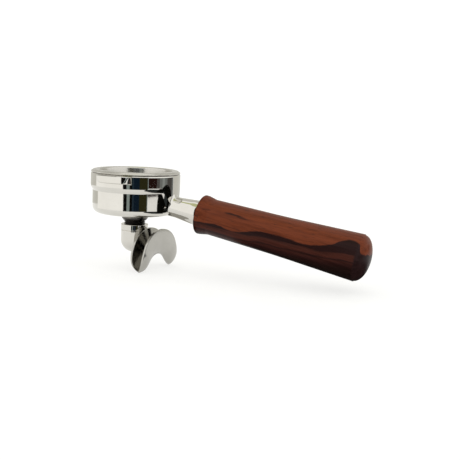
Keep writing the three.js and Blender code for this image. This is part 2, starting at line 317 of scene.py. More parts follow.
def holder_section(angle):
    """Half section of the filter holder at an angle in degrees from the handle."""
    foot = BAND_FOOT - TONGUE_SLOPE * hinge(TONGUE_HALF_ANGLE - abs(angle), 2)
    foot = TONGUE_END + hinge(foot - TONGUE_END, 0.6)
    edge = BAND_FOOT - BAND_CHAMFER - TONGUE_EDGE_SLOPE * hinge(TONGUE_EDGE_HALF_ANGLE - abs(angle), 1)
    edge = TONGUE_EDGE_END + hinge(edge - TONGUE_EDGE_END, 0.2)
    outside = outline([
        (THREAD_RADIUS + SLIP, BOSS_FOOT),
        (THREAD_RADIUS + 0.8, BOSS_FOOT, 0.2),
        (BOSS_RADIUS, BOSS_FOOT + BOSS_CHAMFER, 0.8),
        (BOSS_RADIUS, HOLDER_FLOOR, 2.2),
        (SKIRT_RADIUS, HOLDER_FLOOR, HOLDER_CORNER),
        (SKIRT_RADIUS, edge, 1),
        (BAND_RADIUS, foot, BAND_ROUND),
        (BAND_RADIUS, EAR_FOOT - EAR_EDGE - 0.4),
    ])
    top = []
    for turn in np.linspace(0, math.pi / 2, 9):
        r = BAND_RADIUS - HOLDER_TOP_ROUND * (1 - math.cos(turn))
        z = HOLDER_TOP - HOLDER_TOP_ROUND * (1 - math.sin(turn))
        top.append((r, z))
    if abs(abs(angle) - 90) < EAR_END:
        top = [(r, max(z, EAR_TOP)) for r, z in top]
    inside = outline([
        (BAND_RADIUS - HOLDER_TOP_ROUND - 0.5, HOLDER_TOP),
        (HOLDER_BORE, HOLDER_TOP, 0.4),
        (HOLDER_BORE, GROOVE_TOP),
        (GROOVE_RADIUS, GROOVE_TOP),
        (GROOVE_RADIUS, GROOVE_FOOT),
        (HOLDER_BORE, GROOVE_FOOT),
        (HOLDER_BORE, INNER_FLOOR, 2.5),
        (OUTLET_RADIUS, INNER_FLOOR - 1.8, 0.5),
        (OUTLET_RADIUS, OUTLET_LEDGE),
        (THREAD_RADIUS + SLIP, OUTLET_LEDGE),
    ], 4)
    return outside + ear_section(abs(abs(angle) - 90)) + top + inside


def filter_holder():
    sections = []
    for station in range(HOLDER_STATIONS):
        angle = 360 * station / HOLDER_STATIONS - 180
        turn = math.radians(angle)
        sections.append([
            (r * math.cos(turn), r * math.sin(turn), z) for r, z in holder_section(angle)
        ])
    rings = np.swapaxes(np.array(sections), 0, 1)
    return smooth(skin("chromed_holder", rings, closed_along=True))


def sieve_holes():
    """Centres of the basket's holes, on a triangular grid inside the flat of its floor."""
    row_height = SIEVE_PITCH * math.sqrt(3) / 2
    reach = int(SIEVE_RADIUS / row_height) + 1
    centres = []
    for row in range(-reach, reach + 1):
        for column in range(-reach - 2, reach + 3):
            x = (column + 0.5 * (row % 2)) * SIEVE_PITCH
            y = row * row_height
            if math.hypot(x, y) < SIEVE_RADIUS - 1.2:
                centres.append((x, y))
    return centres


def sieve(mesh, steps):
    """Fills the open floor of the basket with its two perforated faces and the walls of the holes."""
    edge = [Vector(point[:2]) for point in circle(SIEVE_RADIUS, 0, steps)]
    hole = [Vector(point[:2]) for point in circle(SIEVE_HOLE, 0, 10)]
    centres = sieve_holes()
    points = edge + [Vector(centre) + corner for centre in centres for corner in hole]
    loops = [list(range(steps))]
    for start in range(steps, len(points), len(hole)):
        loops.append(list(range(start, start + len(hole))))
    edges = [(a, b) for loop in loops for a, b in zip(loop, loop[1:] + loop[:1])]
    flat, _, faces, *_ = delaunay_2d_cdt(points, edges, [], 0, 1e-5)
    middles = np.array([np.mean([flat[i] for i in face], axis=0) for face in faces])
    gaps = np.linalg.norm(middles[:, None] - np.array(centres)[None], axis=2).min(axis=1)
    metal = [face for face, gap in zip(faces, gaps) if gap > SIEVE_HOLE * 0.9]
    work = bmesh.new()
    work.from_mesh(mesh)
    layers = []
    for height in (-BASKET_DEPTH, BASKET_SHEET - BASKET_DEPTH):
        layer = [work.verts.new((x * MM, y * MM, height * MM)) for x, y in flat]
        for face in metal:
            work.faces.new([layer[i] for i in face])
        layers.append(layer)
    low, high = layers
    for loop in loops[1:]:
        for a, b in zip(loop, loop[1:] + loop[:1]):
            work.faces.new((low[a], low[b], high[b], high[a]))
    work.to_mesh(mesh)
    work.free()
    weld(mesh)


def filter_basket():
    """Pressed steel basket: curled rim, wall that narrows a little, and a floor full of fine holes."""
    steps = 192
    flange_foot = -BASKET_SHEET - 0.1
    points = outline([
        (SIEVE_RADIUS, -BASKET_DEPTH),
        (BASKET_FOOT_RADIUS, -BASKET_DEPTH, 3.5),
        (BASKET_WALL_RADIUS, flange_foot, 0.5),
        (BASKET_RIM_RADIUS - 2.1, flange_foot, 0.4),
        (BASKET_RIM_RADIUS - 1.7, -RIM_CURL, 0.2),
        (BASKET_RIM_RADIUS - 0.6, -RIM_CURL, 0.3),
        (BASKET_RIM_RADIUS, RIM_TIP, 0.3),
        (BASKET_RIM_RADIUS - RIM_CROWN, 0, 3),
        (BASKET_WALL_RADIUS - BASKET_SHEET, 0, 1.4),
        (BASKET_FOOT_RADIUS - BASKET_SHEET, BASKET_SHEET - BASKET_DEPTH, 2.8),
        (SIEVE_RADIUS, BASKET_SHEET - BASKET_DEPTH),
    ])
    basket = skin("steel_basket", [circle(r, z, steps) for r, z in points])
    sieve(basket.data, steps)
    return smooth(basket)


def basket_spring():
    """Open wire ring whose waves press on the basket between its seats in the groove."""
    height = (GROOVE_TOP + GROOVE_FOOT) / 2
    rings = []
    for t in np.linspace(0, 1, 241):
        angle = SPRING_OPENING / 2 + (2 * math.pi - SPRING_OPENING) * t
        radius = SPRING_RADIUS + SPRING_WAVE * math.cos(SPRING_WAVES * angle)
        to_end = min(t, 1 - t) * 2 * math.pi * SPRING_RADIUS
        wire = SPRING_WIRE_RADIUS * math.sqrt(min(1, to_end / SPRING_WIRE_RADIUS))
        rings.append([
            ((radius + u) * math.cos(angle), (radius + u) * math.sin(angle), height + v)
            for u, v, _ in circle(wire, 0, 16)
        ])
    return smooth(skin("retaining_spring", rings))


def neck_radius(s):
    along = max(0, s - NECK_CONE_START) / (NECK_CONE_END - NECK_CONE_START)
    return NECK_ROOT_RADIUS + (NECK_END_RADIUS - NECK_ROOT_RADIUS) * min(1, along)


def handle_neck(holder):
    """Conical neck whose root spreads in a small fillet over the holder's wall."""
    tree = BVHTree.FromObject(holder, bpy.context.evaluated_depsgraph_get())
    axis = (HANDLE_PLACE.to_3x3() @ Vector((0, 0, 1))).normalized()

    def meets_holder(radius, turn):
        side = Vector((radius * math.cos(turn), radius * math.sin(turn), NECK_CONE_END)) * MM
        hit = tree.ray_cast(HANDLE_PLACE @ side, -axis, 0.04)
        return NECK_CONE_END - hit[3] / MM

    steps = 128
    end = outline([
        (STUD_RADIUS + GAP, NECK_END),
        (NECK_END_RADIUS, NECK_END, 0.5),
        (NECK_END_RADIUS, NECK_CONE_END),
    ], 4)[:-1]
    columns = []
    for k in range(steps):
        turn = 2 * math.pi * k / steps
        spread = 0.4 + (NECK_FILLET - 0.4) * ((1 - math.cos(turn)) / 2) ** 4
        root = meets_holder(NECK_ROOT_RADIUS, turn)
        foot = meets_holder(NECK_ROOT_RADIUS + spread, turn)
        rise = root + 1.2 * spread
        column = [(0, STUD_START - 2 * GAP), (STUD_RADIUS + GAP, STUD_START - 2 * GAP), *end]
        for s in np.linspace(NECK_CONE_END, rise, 8):
            column.append((neck_radius(s), s))
        for t in np.linspace(0, 1, 9)[1:]:
            radius = neck_radius(rise) + spread * t * t
            column.append((radius, rise * (1 - t) ** 2 + 2 * root * t * (1 - t) + (foot - 0.05) * t * t))
        column.append((0, -1))
        columns.append([(r * math.cos(turn), r * math.sin(turn), s) for r, s in column])
    neck = skin("chromed_neck", np.swapaxes(np.array(columns), 0, 1))
    neck.matrix_world = HANDLE_PLACE
    return smooth(neck)


def threaded(radius, depth, pitch, foot, top, steps=96):
    """Rings of a helical screw thread whose depth fades out at both ends."""
    rings = []
    for z in np.linspace(foot, top, int((top - foot) / pitch * 14)):
        fade = min(1, (z - foot) / 0.6, (top - z) / 0.6)
        ring = []
        for k in range(steps):
            turns = k / steps - z / pitch
            wave = min(1, max(0, 2.6 * abs(turns - round(turns)) - 0.15))
            r = radius - depth * wave * fade - 0.35 * depth * (1 - fade)
            ring.append((r * math.cos(2 * math.pi * k / steps), r * math.sin(2 * math.pi * k / steps), z))
        rings.append(ring)
    return rings


def outlet_nipple():
    rings = [circle(OUTLET_RADIUS, NIPPLE_FOOT, 96)]
    rings += threaded(THREAD_RADIUS, THREAD_DEPTH, THREAD_PITCH, NIPPLE_FOOT, THREAD_TOP)
    rings += [circle(THREAD_RADIUS, THREAD_TOP + 0.2, 96)]
    rings += [circle(THREAD_RADIUS, OUTLET_LEDGE - SLIP, 96), circle(OUTLET_RADIUS, OUTLET_LEDGE - SLIP, 96)]
    return smooth(skin("threaded_nipple", rings, closed_along=True))


def handle_stud():
    rings = [circle(0, STUD_START, 96)]
    rings += threaded(STUD_RADIUS, 0.9, STUD_PITCH, STUD_START, STUD_END)
    rings += [circle(0, STUD_END, 96)]
    return rings


def spout_window():
    """Box with round corners that opens the cup's side into the chute."""
    middle = (WINDOW_TOP + WINDOW_FOOT) / 2
    ring = rounded_box_ring(WINDOW_HALF_WIDTH, (WINDOW_TOP - WINDOW_FOOT) / 2, WINDOW_CORNER)
    rings = [[(x, y * size, middle + z * size) for y, z in ring]
             for x, size in ((5, 0), (5, 1), (CHUTE_AT, 1), (CHUTE_AT, 0))]
    return skin("window", rings)


def spout_cup():
    """Round cup under the nipple: threaded collar with a fine groove, egg-shaped bowl and side window."""
    inside = bowl(CUP_BORE, BOWL_TOP, BOWL_DEPTH - BOWL_WALL)[::-1]
    collar = outline([
        (CUP_RADIUS, COLLAR_FOOT - 0.8),
        (CUP_RADIUS, COLLAR_FOOT - 0.3, 0.15),
        (CUP_RADIUS - 0.35, COLLAR_FOOT, 0.1),
        (COLLAR_RADIUS, COLLAR_FOOT + 0.3, 0.15),
        (COLLAR_RADIUS, COLLAR_TOP, 0.6),
        (THREAD_RADIUS + SLIP, COLLAR_TOP, 0.3),
        (THREAD_RADIUS + SLIP, CUP_LEDGE),
        (CUP_BORE, CUP_LEDGE),
    ], 4)
    cup = turned("spout_cup_body", bowl(CUP_RADIUS, BOWL_TOP, BOWL_DEPTH) + collar + inside, 160)
    combine(cup, spout_window(), "DIFFERENCE")
    cup.matrix_world = Matrix.Rotation(SPOUT_TURN, 4, "Z")
    return smooth(cup)


def point_on(curves, t):
    """Point at t, from 0 to 1, on two joined cubic curves."""
    index = min(int(t * len(curves)), len(curves) - 1)
    u = t * len(curves) - index
    a, b, c, d = (np.array(point, float) for point in curves[index])
    return a * (1 - u) ** 3 + 3 * b * u * (1 - u) ** 2 + 3 * c * u * u * (1 - u) + d * u ** 3


def chute_width(t):
    """Half width of the gutter, which closes to a point at both tips."""
    return CHUTE_HALF_WIDTH * (1 - abs(t) ** 8) ** 1.25


def chute_section(t):
    """Closed U-shaped section of the gutter at t, from -1 at one tip to 1 at the other."""
    rim = point_on(RIM, abs(t))
    keel = point_on(KEEL, abs(t))
    depth = float(np.linalg.norm(rim - keel))
    width = chute_width(t)
    wall = min(CHUTE_WALL, 0.9 * depth)
    inner_width = width * (1 - CHUTE_WALL / CHUTE_HALF_WIDTH)
    crown = 0.3 * wall
    outer_end = math.acos(crown / depth) if depth > 0 else 0
    inner_end = math.acos(min(1, crown / (depth - wall))) if depth > wall else 0
    outer = []
    for turn in np.linspace(-outer_end, outer_end, 33):
        outer.append((width * math.sin(turn), depth * (1 - math.cos(turn))))
    inner = []
    for turn in np.linspace(inner_end, -inner_end, 33):
        inner.append((inner_width * math.sin(turn), wall + (depth - wall) * (1 - math.cos(turn))))
    middle = (outer[-1][0] + inner[0][0]) / 2
    half = (outer[-1][0] - inner[0][0]) / 2
    edge = []
    for turn in np.linspace(0, math.pi, 13)[1:-1]:
        across = math.copysign(abs(math.cos(turn)) ** 0.4, math.cos(turn))
        edge.append((middle + half * across, depth - crown + crown * math.sin(turn) ** 0.4))
    other_edge = [(-across, height) for across, height in reversed(edge)]
    up = (rim - keel) / depth if depth > 0 else np.zeros(2)
    side = math.copysign(1, t)
    points = []
    for across, height in outer + edge + inner + other_edge:
        lean = CHUTE_LEAN * width * (1 - height / depth) if depth > 0 else 0
        y, z = keel + up * height
        points.append((CHUTE_AT + across + lean, side * y, z))
    return points


def cup_surface(y, z):
    """How far out in x the cup's skin is, at a height and a distance to the side."""
    drop = max(0, BOWL_TOP - z) / BOWL_DEPTH
    radius = CUP_RADIUS * math.sqrt(1 - drop ** 2)
    return math.sqrt(radius ** 2 - y ** 2)


def chute_stub():
    """Short passage between the cup's side and the middle of the chute's wall."""
    middle = (WINDOW_TOP + WINDOW_FOOT) / 2
    half_height = (WINDOW_TOP - WINDOW_FOOT) / 2 + STUB_WALL
    ring = rounded_box_ring(WINDOW_HALF_WIDTH + STUB_WALL, half_height, WINDOW_CORNER + STUB_WALL)
    near, far = [], []
    for y, z in ring:
        near.append((cup_surface(y, middle + z) - 0.1, y, middle + z))
        climb = (middle + z - KEEL[0][0][1]) / (RIM[0][0][1] - KEEL[0][0][1])
        wall = (CHUTE_HALF_WIDTH - CHUTE_WALL / 2) * math.sqrt(1 - (1 - climb) ** 2)
        far.append((CHUTE_AT - wall + CHUTE_LEAN * CHUTE_HALF_WIDTH * (1 - climb), y, middle + z))
    ends = [[tuple(np.mean(loop, axis=0))] * len(ring) for loop in (near, far)]
    return skin("stub", [ends[0], near, far, ends[1]])


def spout_chute():
    """Saddle-shaped double chute, open above, joined to the cup by a short passage."""
    stations = np.linspace(-1, 1, 181)
    chute = skin("double_chute", [chute_section(t) for t in stations])
    combine(chute, chute_stub(), "UNION")
    combine(chute, spout_window(), "DIFFERENCE")
    chute.matrix_world = Matrix.Rotation(SPOUT_TURN, 4, "Z")
    return smooth(chute, 40)


def along_handle(obj):
    obj.matrix_world = HANDLE_PLACE
    return smooth(obj)


def wood_handle():
    """Turned grip: bead at the mouth, waist, long swell to the butt and a low dome."""
    seat = NECK_END + WASHER_THICKNESS + 2 * GAP
    dome = [(r, 2 * BUTT_AT - z) for r, z in bowl(BUTT_RADIUS - 0.5, BUTT_AT, DOME_HEIGHT)][-2::-1]
    return along_handle(turned("turned_handle", outline([
        (0, INSERT_END + 2 * GAP),
        (INSERT_RADIUS + GAP, INSERT_END + 2 * GAP),
        (INSERT_RADIUS + GAP, seat),
        (NECK_END_RADIUS + GAP, seat),
        (NECK_END_RADIUS + GAP, WOOD_START, 0.3),
        (BEAD_RADIUS, WOOD_START, 1.3),
        (BEAD_RADIUS, BEAD_END, 3),
        (WAIST_RADIUS, WAIST_AT, 8),
        (SWELL_RADIUS, SWELL_AT, 1200),
        (BUTT_RADIUS, BUTT_AT, 0.6),
        *dome,
    ])))


def handle_insert():
    """Brass sleeve with the stud's thread inside and grip bands outside."""
    start = NECK_END + WASHER_THICKNESS + 3 * GAP
    bands = 3
    pitch = (INSERT_END - start) / bands
    corners = [(STUD_RADIUS + GAP, start, 0.3), (INSERT_RADIUS, start, 0.4)]
    for k in range(1, bands):
        middle = start + k * pitch
        corners += [(INSERT_RADIUS, middle - 1, 0.2), (INSERT_RADIUS - 0.8, middle - 1, 0.2)]
        corners += [(INSERT_RADIUS - 0.8, middle + 1, 0.2), (INSERT_RADIUS, middle + 1, 0.2)]
    corners += [(INSERT_RADIUS, INSERT_END, 0.4), (STUD_RADIUS + GAP, INSERT_END, 0.3)]
    return along_handle(turned("brass_insert", outline(corners, 4), 96))


def ring_piece(name, inner, outer, foot, top, edge=0.15):
    return turned(name, outline([
        (inner, foot, edge), (outer, foot, edge), (outer, top, edge), (inner, top, edge),
    ], 4), 96)


# ---------------------------------------------------------------- materials

# Range of a contour drawn on the grip: distance along it, and height either side of its axis
GRIP_REACH = 160
GRIP_HALF_HEIGHT = 16


class Graph:
    """A node material with its Principled shader; values the whole surface shares are set on the shader."""

    def __init__(self, name, **values):
        self.material = bpy.data.materials.new(name)
        self.material.use_nodes = True
        self.tree = self.material.node_tree
        self.shader = self.tree.nodes["Principled BSDF"]
        for socket, value in values.items():
            self.shader.inputs[socket.replace("_", " ")].default_value = value

    def add(self, kind, inputs=None, output=0, **settings):
        node = self.tree.nodes.new("ShaderNode" + kind)
        for key, value in settings.items():
            setattr(node, key, value)
        for key, value in (inputs or {}).items():
            if isinstance(value, bpy.types.NodeSocket):
                self.tree.links.new(value, node.inputs[key])
            else:
                node.inputs[key].default_value = value
        return node.outputs[output]

    def math(self, operation, a, b):
        return self.add("Math", {0: a, 1: b}, operation=operation)

    def place(self, scale=(1, 1, 1)):
        """Object coordinates, stretched."""
        here = self.add("TexCoord", output="Object")
        return self.add("VectorMath", {0: here, 1: scale}, operation="MULTIPLY")

    def noise(self, vector, scale, detail=3, roughness=0.5):
        return self.add("TexNoise", {
            "Vector": vector, "Scale": scale, "Detail": detail, "Roughness": roughness,
        }, output="Fac")

    def span(self, value, low, high, to_low=0.0, to_high=1.0):
        return self.add("MapRange", {
            "Value": value, "From Min": low, "From Max": high, "To Min": to_low, "To Max": to_high,
        })

    def ramp(self, value, stops):
        output = self.add("ValToRGB", {"Fac": value}, output="Color")
        elements = output.node.color_ramp.elements
        while len(elements) < len(stops):
            elements.new(1)
        for element, (position, color) in zip(elements, stops):
            element.position = position
            element.color = (*color, 1)
        return output

    def mix(self, factor, a, b, blend="MIX"):
        node = self.add("Mix", {"Factor": factor}, output="Result", data_type="RGBA", blend_type=blend).node
        for socket, value in (("A_Color", a), ("B_Color", b)):
            target = next(entry for entry in node.inputs if entry.identifier == socket)
            if isinstance(value, bpy.types.NodeSocket):
                self.tree.links.new(value, target)
            else:
                target.default_value = (*value, 1)
        return next(entry for entry in node.outputs if entry.identifier == "Result_Color")

    def contour(self, along, points):
        """Height of a line drawn as (distance along the grip, height) in millimetres."""
        curve = self.add("FloatCurve", {"Factor": 1.0, "Value": self.math("DIVIDE", along, GRIP_REACH)}).node
        line = curve.mapping.curves[0].points
        heights = [
            (distance / GRIP_REACH, (height + GRIP_HALF_HEIGHT) / (2 * GRIP_HALF_HEIGHT))
            for distance, height in points
        ]
        line[0].location = heights[0]
        line[1].location = heights[-1]
        for location in heights[1:-1]:
            line.new(*location)
        curve.mapping.update()
        return self.span(curve.outputs[0], 0, 1, -GRIP_HALF_HEIGHT, GRIP_HALF_HEIGHT)

    def bump(self, height, distance, normal=None):
        inputs = {"Height": height, "Distance": distance, "Strength": 1.0}
        if normal:
            inputs["Normal"] = normal
        return self.add("Bump", inputs)

    def feed(self, **sockets):
        for socket, value in sockets.items():
            self.tree.links.new(value, self.shader.inputs[socket.replace("_", " ")])
        return self.material


def chrome(name="chrome", shade_below=None):
    """Polished chrome plate: nearly a mirror, with the soft waviness of hand polishing and faint haze.
    Below a height it's darker and rougher: the darkening is painted shade under the holder."""
    graph = Graph(name, Metallic=1.0)
    place = graph.place()
    haze = graph.noise(place, 60, 4, 0.6)
    tone = graph.ramp(haze, [(0.35, (0.615, 0.598, 0.555)), (0.65, (0.645, 0.630, 0.590))])
    specks = graph.noise(place, 1400, 2)
    roughness = graph.math(
        "ADD", graph.span(haze, 0.35, 0.75, 0.03, 0.075), graph.span(specks, 0.62, 0.8, 0, 0.05)
    )
    waves = graph.noise(place, 75, 1, 0.3)
    fine = graph.noise(place, 420, 2)
    relief = graph.bump(fine, 1.5e-6, graph.bump(waves, 3.5e-5))
    # Painted shade: below the given height the chrome is darkened towards the bottom, nearly to black
    if shade_below:
        level = graph.add("SeparateXYZ", {0: place}, output=2)
        shade_mask = graph.span(level, shade_below * MM - 0.0002, shade_below * MM, 1, 0)
        painted_shade = graph.ramp(graph.span(level, (shade_below - 5) * MM, shade_below * MM), [
            (0.20, (0.03, 0.028, 0.026)), (0.45, (0.20, 0.19, 0.17)),
        ])
        tone = graph.mix(shade_mask, tone, painted_shade)
        roughness = graph.math("ADD", roughness, graph.math("MULTIPLY", shade_mask, 0.2))
    return graph.feed(Base_Color=tone, Roughness=roughness, Normal=relief)


def satin_chrome():
    """Chrome over a blasted casting: soft reflections and a fine even grain."""
    graph = Graph("satin chrome", Metallic=1.0)
    place = graph.place()
    haze = graph.noise(place, 90, 4, 0.6)
    tone = graph.ramp(haze, [(0.3, (0.395, 0.384, 0.352)), (0.7, (0.43, 0.419, 0.387))])
    grain = graph.noise(place, 2600, 2)
    roughness = graph.span(haze, 0.3, 0.7, 0.10, 0.17)
    waves = graph.noise(place, 130, 2)
    relief = graph.bump(grain, 1.5e-6, graph.bump(waves, 3e-5))
    return graph.feed(Base_Color=tone, Roughness=roughness, Normal=relief)


def round_coordinate(graph):
    """Distance from Z plus height: lines of equal value run round a turned piece."""
    parts = graph.add("TexCoord", output="Object")
    split = graph.add("SeparateXYZ", {0: parts}).node
    flat = graph.add("CombineXYZ", {0: split.outputs[0], 1: split.outputs[1]})
    radius = graph.add("VectorMath", {0: flat}, output="Value", operation="LENGTH")
    return graph.add("CombineXYZ", {0: radius, 1: split.outputs[2]})


def spun_metal(name, dark, light, roughness, line_depth):
    """Metal turned or spun on a lathe: fine lines round the axis."""
    graph = Graph(name, Metallic=1.0)
    lines = graph.noise(round_coordinate(graph), 2400, 3, 0.6)
    patches = graph.noise(graph.place(), 70, 4, 0.6)
    tone = graph.ramp(patches, [(0.3, dark), (0.7, light)])
    low, high = roughness
    shine = graph.math("ADD", graph.span(patches, 0.3, 0.7, low, high), graph.span(lines, 0.4, 0.8, 0, 0.08))
    return graph.feed(Base_Color=tone, Roughness=shine, Normal=graph.bump(lines, line_depth))


def grained(name, dark, light, roughness, scale, depth):
    """Dull moulded or pressed stuff with a fine grain."""
    graph = Graph(name)
    place = graph.place()
    mottle = graph.noise(place, scale / 6, 4, 0.6)
    grain = graph.noise(place, scale, 3, 0.6)
    mean = graph.math("MULTIPLY", graph.math("ADD", mottle, grain), 0.5)
    tone = graph.ramp(mean, [(0.3, dark), (0.7, light)])
    low, high = roughness
    shine = graph.span(grain, 0.3, 0.7, low, high)
    return graph.feed(Base_Color=tone, Roughness=shine, Normal=graph.bump(grain, depth))


# The near-black band in the grip: its edges, as (distance along the grip, height above its axis)
BAND_EDGE = [(16, -1.9), (28, -3.1), (42, -1.6), (52, -2.7), (63, -1.6), (72, 1.0), (82, 2.4), (100, 2.7),
             (112, 2.4), (120, 3.9), (130, 7.4), (138, 11.4), (144, 12.8), (149, 11.7), (152, 6), (157, 5)]
BAND_FOOT_EDGE = [(16, -3.0), (50, -4.0), (67, -3.0), (76, -1.2), (90, -0.7), (110, 0.6), (127, 1.4),
                  (143, 3.8), (157, 3.8)]

# Where the grip turns dark towards its butt, below the band: painted shade on the dome
BUTT_SHADE = (147.5, 149)

# Dark flecks in the grip, in its own coordinates in metres: middle, half sizes and strength
KNOTS = [
    ((-0.0084, -0.0111, 0.053), (0.0010, 0.0030, 0.0085), 0.85),
    ((-0.0076, -0.0118, 0.059), (0.0008, 0.0030, 0.0055), 0.5),
    ((-0.0069, -0.0120, 0.030), (0.0008, 0.0030, 0.0060), 0.4),
]


def wood():
    """Oiled dark hardwood cut across its layers: reddish brown above, a near-black wavy band, streaks below.
    The dark layers below are grain, and partly painted shade on the grip's underside.
    In the handle's own coordinates z runs along the grip and -x is up."""
    graph = Graph("oiled hardwood", IOR=1.19)
    here = graph.add("TexCoord", output="Object")
    split = graph.add("SeparateXYZ", {0: here}).node
    along = graph.math("MULTIPLY", split.outputs[2], 1000)
    height = graph.math("MULTIPLY", split.outputs[0], -1000)
    boundary = graph.contour(along, BAND_EDGE)
    slow = graph.noise(graph.place((90, 90, 14)), 1, 2)
    quick = graph.noise(graph.place((260, 260, 60)), 1, 3, 0.6)
    wander = graph.math("ADD", graph.span(slow, 0.2, 0.8, -0.7, 0.7), graph.span(quick, 0.2, 0.8, -0.7, 0.7))
    below = graph.math("ADD", graph.math("SUBTRACT", graph.contour(along, BAND_FOOT_EDGE), height), wander)
    above = graph.math("ADD", graph.math("SUBTRACT", height, boundary), wander)
    # Layers below the band: grain, kept near-black partly as painted shade on the grip's underside
    layers = graph.ramp(graph.span(below, 0, 16), [
        (0.00, (0.015, 0.004, 0.0035)),
        (0.05, (0.040, 0.010, 0.006)),
        (0.18, (0.050, 0.012, 0.007)),
        (0.27, (0.046, 0.011, 0.007)),
        (0.32, (0.016, 0.0045, 0.0035)),
        (0.38, (0.036, 0.009, 0.006)),
        (0.52, (0.020, 0.005, 0.004)),
        (0.70, (0.012, 0.004, 0.003)),
        (1.00, (0.008, 0.003, 0.0025)),
    ])
    # Painted shade on the butt's dome below the band
    layers = graph.mix(graph.span(along, *BUTT_SHADE), layers, (0.016, 0.006, 0.006))
    layers = graph.mix(graph.span(above, -0.3, 0.5), layers, (0.122, 0.0265, 0.0085))
    streaks = graph.noise(graph.place((520, 520, 16)), 1, 4, 0.65)
    fibres = graph.noise(graph.place((1900, 1900, 60)), 1, 3, 0.6)
    pores = graph.noise(graph.place((1500, 1500, 110)), 1, 1)
    tone = graph.mix(1.0, layers, graph.ramp(streaks, [
        (0.30, (0.62, 0.55, 0.52)), (0.50, (1.0, 1.0, 1.0)), (0.72, (1.22, 1.2, 1.15)),
    ]), "MULTIPLY")
    tone = graph.mix(1.0, tone, graph.ramp(fibres, [
        (0.30, (0.82, 0.80, 0.80)), (0.70, (1.14, 1.14, 1.14)),
    ]), "MULTIPLY")
    tone = graph.mix(graph.span(pores, 0.64, 0.72, 0, 0.55), tone, (0.012, 0.004, 0.003))
    for middle, size, strength in KNOTS:
        offset = graph.add("VectorMath", {0: here, 1: middle}, operation="SUBTRACT")
        shrink = tuple(1 / half for half in size)
        scaled = graph.add("VectorMath", {0: offset, 1: shrink}, operation="MULTIPLY")
        reach = graph.add("VectorMath", {0: scaled}, output="Value", operation="LENGTH")
        frayed = graph.math("ADD", reach, graph.span(quick, 0.2, 0.8, -0.5, 0.5))
        tone = graph.mix(graph.span(frayed, 0.5, 1.0, strength, 0), tone, (0.014, 0.004, 0.003))
    roughness = graph.math(
        "ADD", graph.span(streaks, 0.3, 0.7, 0.30, 0.40), graph.span(pores, 0.6, 0.7, 0, 0.15)
    )
    relief = graph.bump(graph.math("MULTIPLY", pores, -1), 2.0e-5, graph.bump(fibres, 1.2e-5))
    return graph.feed(Base_Color=tone, Roughness=roughness, Normal=relief)


LOOKS = {
    "chrome": chrome(),
    # The holder's chrome has painted shade on the boss below the holder's floor
    "holder_chrome": chrome("holder chrome", HOLDER_FLOOR - 0.2),
    "satin_chrome": satin_chrome(),
    "stainless": spun_metal("stainless", (0.50, 0.485, 0.45), (0.60, 0.585, 0.545), (0.15, 0.24), 3e-6),
    "spring_steel": spun_metal("spring steel", (0.40, 0.39, 0.38), (0.50, 0.49, 0.47), (0.25, 0.35), 2e-6),
    "brass": spun_metal("brass", (0.60, 0.41, 0.15), (0.72, 0.52, 0.22), (0.25, 0.38), 6e-6),
    # The threaded nipple is coloured near-black
    "black_steel": spun_metal("near-black metal", (0.035, 0.033, 0.03), (0.075, 0.07, 0.062), (0.25, 0.4), 5e-6),
    "rubber": grained("rubber", (0.012, 0.012, 0.011), (0.028, 0.027, 0.026), (0.6, 0.8), 2600, 1e-5),
    "fibre": grained("fibre", (0.13, 0.03, 0.018), (0.26, 0.07, 0.04), (0.7, 0.9), 3200, 2e-5),
    "wood": wood(),
}


def place(obj, node, look, slot=None):
    """Hands a finished piece over: it rides with the CAD node that it stands for."""
    obj.data.materials.clear()
    obj.data.materials.append(LOOKS[look])
    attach(obj, BODY_OF[node])
    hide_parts(node)


BODY_OF = {
    node: body
    for body, nodes in frame["record"]["behaviour"]["bodies"].items()
    for node in nodes
}

holder = filter_holder()
place(holder, "filter_holder", "holder_chrome", "chrome")
place(handle_neck(holder), "handle_neck", "chrome")
place(filter_basket(), "filter_basket", "stainless")
place(basket_spring(), "basket_spring", "spring_steel")
place(outlet_nipple(), "outlet_nipple", "black_steel")
place(spout_cup(), "spout_cup", "chrome")
place(spout_chute(), "spout_chute", "satin_chrome")
place(wood_handle(), "wood_handle", "wood")
place(handle_insert(), "handle_insert", "brass")
place(along_handle(skin("threaded_stud", handle_stud())), "handle_stud", "spring_steel")
place(along_handle(ring_piece("rubber_washer", STUD_RADIUS + GAP, NECK_END_RADIUS - GAP,
                              NECK_END + GAP, NECK_END + GAP + WASHER_THICKNESS)), "neck_washer", "rubber")
place(smooth(ring_piece("fibre_gasket", OUTLET_RADIUS + 0.2, THREAD_RADIUS - SLIP, CUP_LEDGE + SLIP,
                        CUP_LEDGE + SLIP + GASKET_THICKNESS)), "spout_gasket", "fibre")


# ---------------------------------------------------------------- camera, floor and light

CAMERA_AIM = (0, 0, -20)
CAMERA_DISTANCE = 652.25
CAMERA_TURN = 28
CAMERA_ELEVATION = 6.297
CAMERA_PAN = 6.653
CAMERA_TILT = 2.269
CAMERA_ROLL = -1.693
CAMERA_LENS = 64.083

